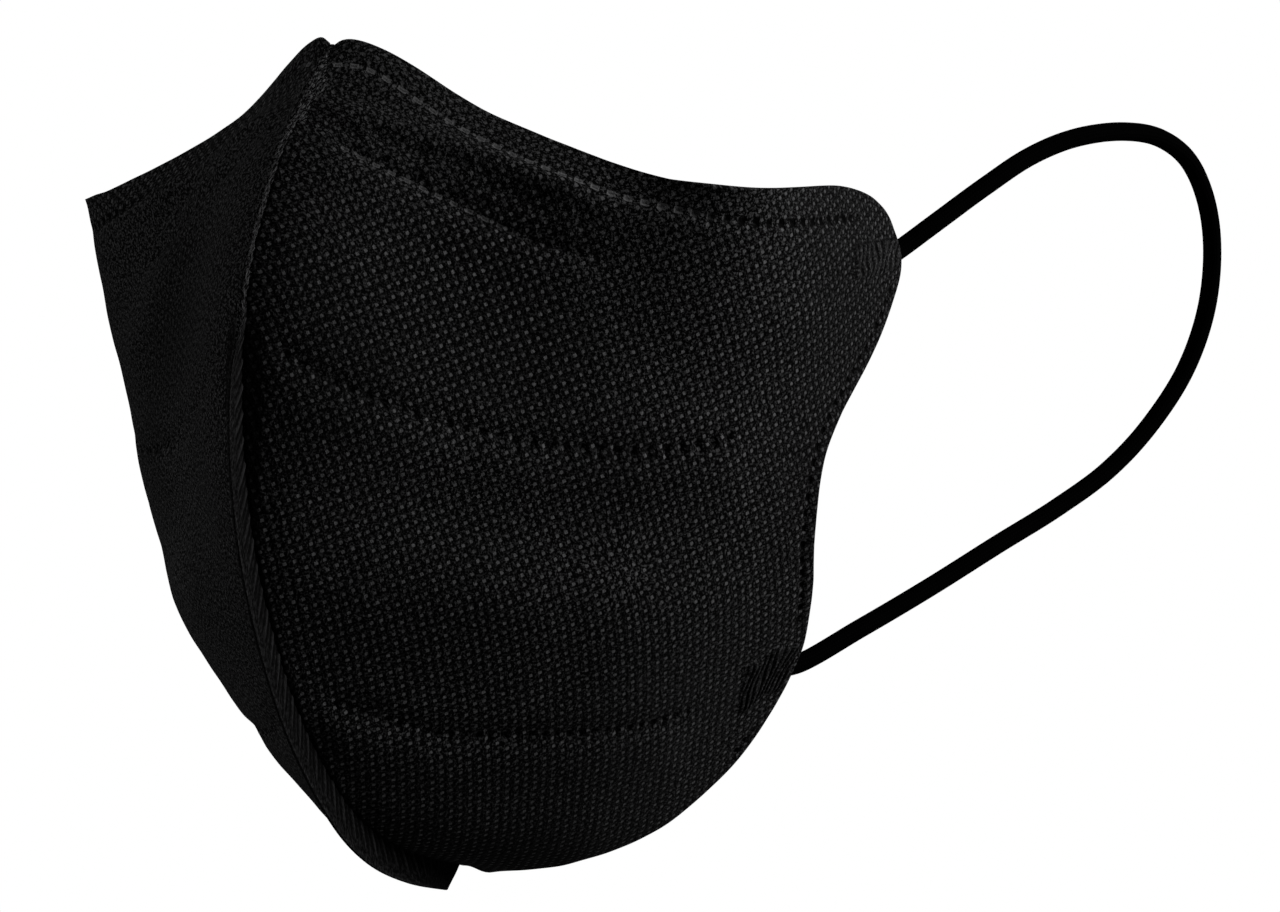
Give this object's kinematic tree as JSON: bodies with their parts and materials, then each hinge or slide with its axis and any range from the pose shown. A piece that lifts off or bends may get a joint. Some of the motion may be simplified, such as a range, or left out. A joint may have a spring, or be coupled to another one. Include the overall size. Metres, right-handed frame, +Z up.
{
  "type": "vertical-fold respirator mask",
  "caption": "Black nonwoven respirator mask with a vertical front seam, shaped nose band, cupped chin and round elastic ear loops, in its worn form.",
  "frame": {"origin": "top of the nose seam, where the mask sits on the nose bridge", "axes": "+Z up, the mask faces -Y, +X is its wearer's left, and it is mirrored about X = 0"},
  "size_m": [0.1912, 0.2076, 0.1419],
  "materials": {
    "cloth": "black point-bonded nonwoven cloth",
    "weld": "black cloth fused by ultrasonic welding",
    "elastic": "black round knitted elastic"
  },
  "bodies": {
    "root": {"panel_left": "cloth", "panel_right": "cloth", "seam_fin": "weld", "loop_weld_upper_left": "weld", "loop_weld_upper_right": "weld", "loop_weld_lower_left": "weld", "loop_weld_lower_right": "weld", "ear_loop_left": "elastic", "ear_loop_right": "elastic"}
  },
  "joints": []
}
